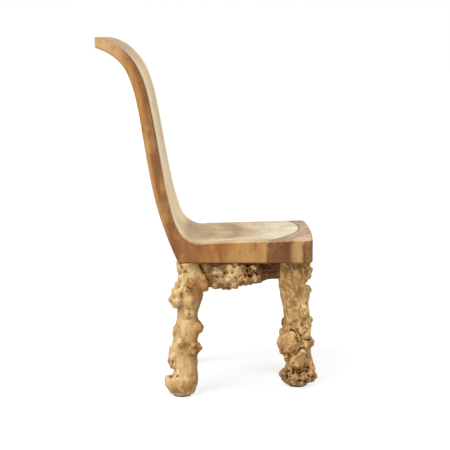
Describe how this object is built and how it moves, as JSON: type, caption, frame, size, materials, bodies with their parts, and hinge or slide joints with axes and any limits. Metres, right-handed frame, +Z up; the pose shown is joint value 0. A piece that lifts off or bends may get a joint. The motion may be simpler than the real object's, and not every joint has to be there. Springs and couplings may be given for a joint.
{
  "type": "rustic twig chair",
  "caption": "Rustic side chair: seat and curled back carved from one block of hardwood, on knobbly root legs braced by burl aprons under the seat.",
  "frame": {"origin": "on the floor, under the middle of the chair's bounding box", "axes": "+X to the chair's front, +Y to the sitter's left, +Z up"},
  "size_m": [0.6489, 0.4989, 1.051],
  "materials": {
    "carved_hardwood": "sanded and waxed, satin, with strong heartwood and sapwood bands",
    "burl_pale": "debarked root wood, pale and dry, hand sanded",
    "burl_brown": "debarked root wood, golden brown, rough in the crevices",
    "burl_apron": "raw burl, lumpy and pitted",
    "dowel_wood": "plain turned hardwood",
    "felt": "dense dark grey felt"
  },
  "bodies": {
    "root": {"seat_and_back": "carved_hardwood", "leg_front_right": "burl_brown", "leg_front_left": "burl_brown", "leg_rear_right": "burl_pale", "leg_rear_left": "burl_pale", "apron_right": "burl_apron", "apron_left": "burl_apron", "apron_front": "burl_apron", "apron_rear": "burl_apron", "foot_pad_front_right": "felt", "foot_pad_front_left": "felt", "foot_pad_rear_right": "felt", "foot_pad_rear_left": "felt", "apron_dowels": "dowel_wood"}
  },
  "joints": []
}
